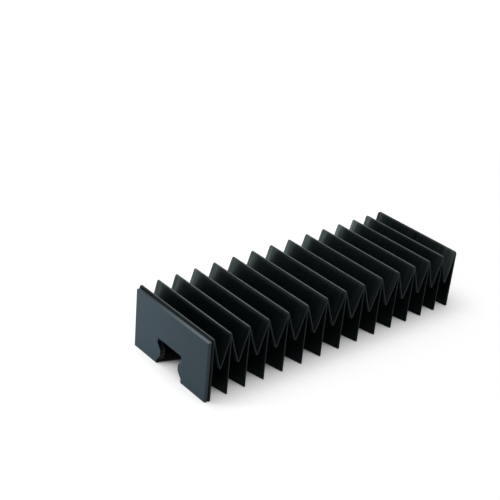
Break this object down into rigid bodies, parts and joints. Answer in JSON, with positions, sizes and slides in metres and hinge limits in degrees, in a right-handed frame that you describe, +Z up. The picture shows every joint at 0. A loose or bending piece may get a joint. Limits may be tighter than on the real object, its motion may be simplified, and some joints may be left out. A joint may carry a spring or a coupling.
{
  "type": "bellows way cover",
  "caption": "Three-sided folding bellows that covers a profiled guide rail, with flat end plates, a full-width pleated top, tucked sides and slotted stiffener frames.",
  "frame": {"origin": "middle of the cover's length and width, at the level of its feet", "axes": "+X along the rail, from the front end plate to the rear one; +Y across the rail; +Z up, away from the rail"},
  "size_m": [0.1924, 0.066, 0.038],
  "materials": {
    "end_plate": "satin blue-grey coating",
    "skin": "black coated cloth, half matt, with paler creases",
    "stiffener": "black sheet plastic"
  },
  "bodies": {
    "front_end": {"front_end_plate": "end_plate", "front_clamp_frame": "stiffener", "bellows_skin": "skin"},
    "fold_01": {"fold_frame_01": "stiffener"},
    "fold_02": {"fold_frame_02": "stiffener"},
    "fold_03": {"fold_frame_03": "stiffener"},
    "fold_04": {"fold_frame_04": "stiffener"},
    "fold_05": {"fold_frame_05": "stiffener"},
    "fold_06": {"fold_frame_06": "stiffener"},
    "fold_07": {"fold_frame_07": "stiffener"},
    "fold_08": {"fold_frame_08": "stiffener"},
    "fold_09": {"fold_frame_09": "stiffener"},
    "fold_10": {"fold_frame_10": "stiffener"},
    "fold_11": {"fold_frame_11": "stiffener"},
    "fold_12": {"fold_frame_12": "stiffener"},
    "fold_13": {"fold_frame_13": "stiffener"},
    "rear_end": {"rear_clamp_frame": "stiffener", "rear_end_plate": "end_plate"}
  },
  "joints": [
    {"name": "pleat_01", "type": "slide", "parent": "front_end", "child": "fold_01", "axis": [1, 0, 0], "range_m": [-0.00861, 0.00277], "deforming": ["bellows_skin"]},
    {"name": "pleat_02", "type": "slide", "parent": "fold_01", "child": "fold_02", "axis": [1, 0, 0], "range_m": [-0.00926, 0.00298]},
    {"name": "pleat_03", "type": "slide", "parent": "fold_02", "child": "fold_03", "axis": [1, 0, 0], "range_m": [-0.0098, 0.00315]},
    {"name": "pleat_04", "type": "slide", "parent": "fold_03", "child": "fold_04", "axis": [1, 0, 0], "range_m": [-0.01024, 0.00329]},
    {"name": "pleat_05", "type": "slide", "parent": "fold_04", "child": "fold_05", "axis": [1, 0, 0], "range_m": [-0.01056, 0.00339]},
    {"name": "pleat_06", "type": "slide", "parent": "fold_05", "child": "fold_06", "axis": [1, 0, 0], "range_m": [-0.01078, 0.00346]},
    {"name": "pleat_07", "type": "slide", "parent": "fold_06", "child": "fold_07", "axis": [1, 0, 0], "range_m": [-0.01089, 0.0035]},
    {"name": "pleat_08", "type": "slide", "parent": "fold_07", "child": "fold_08", "axis": [1, 0, 0], "range_m": [-0.01089, 0.0035]},
    {"name": "pleat_09", "type": "slide", "parent": "fold_08", "child": "fold_09", "axis": [1, 0, 0], "range_m": [-0.01078, 0.00346]},
    {"name": "pleat_10", "type": "slide", "parent": "fold_09", "child": "fold_10", "axis": [1, 0, 0], "range_m": [-0.01056, 0.00339]},
    {"name": "pleat_11", "type": "slide", "parent": "fold_10", "child": "fold_11", "axis": [1, 0, 0], "range_m": [-0.01024, 0.00329]},
    {"name": "pleat_12", "type": "slide", "parent": "fold_11", "child": "fold_12", "axis": [1, 0, 0], "range_m": [-0.0098, 0.00315]},
    {"name": "pleat_13", "type": "slide", "parent": "fold_12", "child": "fold_13", "axis": [1, 0, 0], "range_m": [-0.00926, 0.00298]},
    {"name": "pleat_14", "type": "slide", "parent": "fold_13", "child": "rear_end", "axis": [1, 0, 0], "range_m": [-0.00861, 0.00277]}
  ],
  "couplings": [
    {"joint": "pleat_02", "follows": "pleat_01", "ratio": 1.0755},
    {"joint": "pleat_03", "follows": "pleat_01", "ratio": 1.1384},
    {"joint": "pleat_04", "follows": "pleat_01", "ratio": 1.1887},
    {"joint": "pleat_05", "follows": "pleat_01", "ratio": 1.2265},
    {"joint": "pleat_06", "follows": "pleat_01", "ratio": 1.2517},
    {"joint": "pleat_07", "follows": "pleat_01", "ratio": 1.2643},
    {"joint": "pleat_08", "follows": "pleat_01", "ratio": 1.2643},
    {"joint": "pleat_09", "follows": "pleat_01", "ratio": 1.2517},
    {"joint": "pleat_10", "follows": "pleat_01", "ratio": 1.2265},
    {"joint": "pleat_11", "follows": "pleat_01", "ratio": 1.1887},
    {"joint": "pleat_12", "follows": "pleat_01", "ratio": 1.1384},
    {"joint": "pleat_13", "follows": "pleat_01", "ratio": 1.0755},
    {"joint": "pleat_14", "follows": "pleat_01", "ratio": 1}
  ]
}
